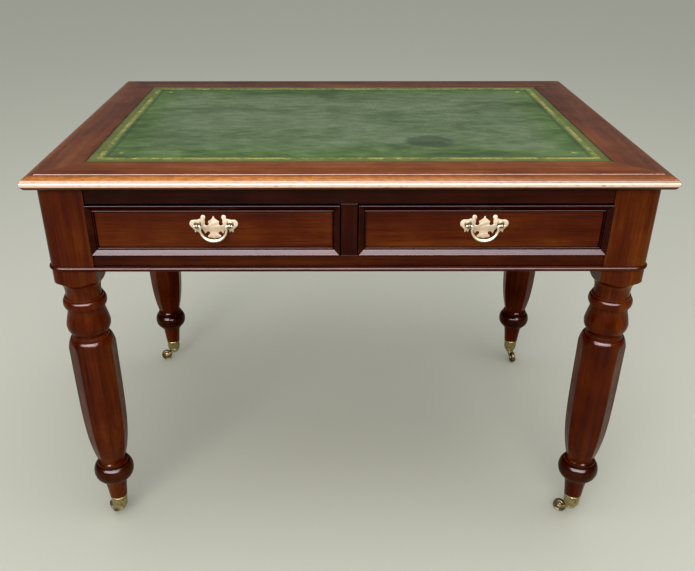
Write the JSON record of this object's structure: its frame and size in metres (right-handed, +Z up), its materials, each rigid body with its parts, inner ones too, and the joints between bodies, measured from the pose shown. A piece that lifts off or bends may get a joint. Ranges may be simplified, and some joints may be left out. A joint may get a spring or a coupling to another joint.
{
  "type": "writing desk",
  "caption": "Leather-topped writing desk with sliding frieze drawers, turned and faceted legs, drop-bail brass handles and swivel castors.",
  "frame": {"origin": "on the floor, under the middle of the top", "axes": "+Z up, +X along the desk's length, drawers facing -Y"},
  "size_m": [1.062, 0.736, 0.765],
  "materials": {
    "mahogany": "dark red-brown mahogany, French polished to a gloss",
    "mahogany_top": "lighter, sun-faded mahogany, French polished",
    "oak": "dry unpolished oak drawer linings",
    "pine": "unpolished pine, darkened with age",
    "green_leather": "antiqued green hide with a gilt tooled line border",
    "polished_brass": "polished brass, worn pale",
    "tarnished_brass": "brass tarnished to olive brown",
    "iron": "dark riveted pin"
  },
  "bodies": {
    "frame": {"top_border_front": "mahogany_top", "top_border_back": "mahogany_top", "top_border_left": "mahogany_top", "top_border_right": "mahogany_top", "top_panel": "mahogany_top", "leather_inset": "green_leather", "leg_front_left": "mahogany", "leg_front_right": "mahogany", "leg_back_left": "mahogany", "leg_back_right": "mahogany", "front_bottom_rail": "mahogany", "front_top_rail": "mahogany", "drawer_divider": "mahogany", "back_rail": "mahogany", "side_rail_left": "mahogany", "side_rail_right": "mahogany", "centre_kicker": "pine", "runner_left": "pine", "runner_right": "pine", "runner_centre": "pine", "bead_front": "mahogany", "bead_back": "mahogany", "bead_left": "mahogany", "bead_right": "mahogany", "castor_front_left_cup": "tarnished_brass", "castor_front_right_cup": "tarnished_brass", "castor_back_left_cup": "tarnished_brass", "castor_back_right_cup": "tarnished_brass"},
    "left_drawer": {"left_drawer_front": "mahogany", "left_drawer_side_left": "oak", "left_drawer_side_right": "oak", "left_drawer_back": "oak", "left_drawer_bottom": "oak", "left_drawer_moulding": "mahogany", "left_handle_plate": "polished_brass", "left_handle_post_left": "polished_brass", "left_handle_post_right": "polished_brass"},
    "left_bail": {"left_handle_bail": "polished_brass"},
    "right_drawer": {"right_drawer_front": "mahogany", "right_drawer_side_left": "oak", "right_drawer_side_right": "oak", "right_drawer_back": "oak", "right_drawer_bottom": "oak", "right_drawer_moulding": "mahogany", "right_handle_plate": "polished_brass", "right_handle_post_left": "polished_brass", "right_handle_post_right": "polished_brass"},
    "right_bail": {"right_handle_bail": "polished_brass"},
    "castor_front_left_fork": {"castor_front_left_horn": "tarnished_brass", "castor_front_left_axle": "iron"},
    "castor_front_left_roller": {"castor_front_left_wheel": "tarnished_brass"},
    "castor_front_right_fork": {"castor_front_right_horn": "tarnished_brass", "castor_front_right_axle": "iron"},
    "castor_front_right_roller": {"castor_front_right_wheel": "tarnished_brass"},
    "castor_back_left_fork": {"castor_back_left_horn": "tarnished_brass", "castor_back_left_axle": "iron"},
    "castor_back_left_roller": {"castor_back_left_wheel": "tarnished_brass"},
    "castor_back_right_fork": {"castor_back_right_horn": "tarnished_brass", "castor_back_right_axle": "iron"},
    "castor_back_right_roller": {"castor_back_right_wheel": "tarnished_brass"}
  },
  "joints": [
    {"name": "left_drawer_slide", "type": "slide", "parent": "frame", "child": "left_drawer", "axis": [0, -1, 0], "range_m": [0, 0.4]},
    {"name": "left_bail_hinge", "type": "hinge", "parent": "left_drawer", "child": "left_bail", "pos_m": [-0.22625, -0.3555, 0.6775], "axis": [-1, 0, 0], "range_deg": [0, 140]},
    {"name": "right_drawer_slide", "type": "slide", "parent": "frame", "child": "right_drawer", "axis": [0, -1, 0], "range_m": [0, 0.4]},
    {"name": "right_bail_hinge", "type": "hinge", "parent": "right_drawer", "child": "right_bail", "pos_m": [0.22625, -0.3555, 0.6775], "axis": [-1, 0, 0], "range_deg": [0, 140]},
    {"name": "castor_front_left_swivel", "type": "hinge", "parent": "frame", "child": "castor_front_left_fork", "pos_m": [-0.475, -0.312, 0.027], "axis": [0, 0, 1], "continuous": true},
    {"name": "castor_front_left_spin", "type": "hinge", "parent": "castor_front_left_fork", "child": "castor_front_left_roller", "pos_m": [-0.4921, -0.29816, 0.0135], "axis": [-0.6293, -0.7771, 0], "continuous": true},
    {"name": "castor_front_right_swivel", "type": "hinge", "parent": "frame", "child": "castor_front_right_fork", "pos_m": [0.475, -0.312, 0.027], "axis": [0, 0, 1], "continuous": true},
    {"name": "castor_front_right_spin", "type": "hinge", "parent": "castor_front_right_fork", "child": "castor_front_right_roller", "pos_m": [0.45743, -0.29876, 0.0135], "axis": [-0.6018, -0.7986, 0], "continuous": true},
    {"name": "castor_back_left_swivel", "type": "hinge", "parent": "frame", "child": "castor_back_left_fork", "pos_m": [-0.475, 0.312, 0.027], "axis": [0, 0, 1], "continuous": true},
    {"name": "castor_back_left_spin", "type": "hinge", "parent": "castor_back_left_fork", "child": "castor_back_left_roller", "pos_m": [-0.49615, 0.30594, 0.0135], "axis": [0.2756, -0.9613, 0], "continuous": true},
    {"name": "castor_back_right_swivel", "type": "hinge", "parent": "frame", "child": "castor_back_right_fork", "pos_m": [0.475, 0.312, 0.027], "axis": [0, 0, 1], "continuous": true},
    {"name": "castor_back_right_spin", "type": "hinge", "parent": "castor_back_right_fork", "child": "castor_back_right_roller", "pos_m": [0.4792, 0.2904, 0.0135], "axis": [0.9816, 0.1908, 0], "continuous": true}
  ]
}
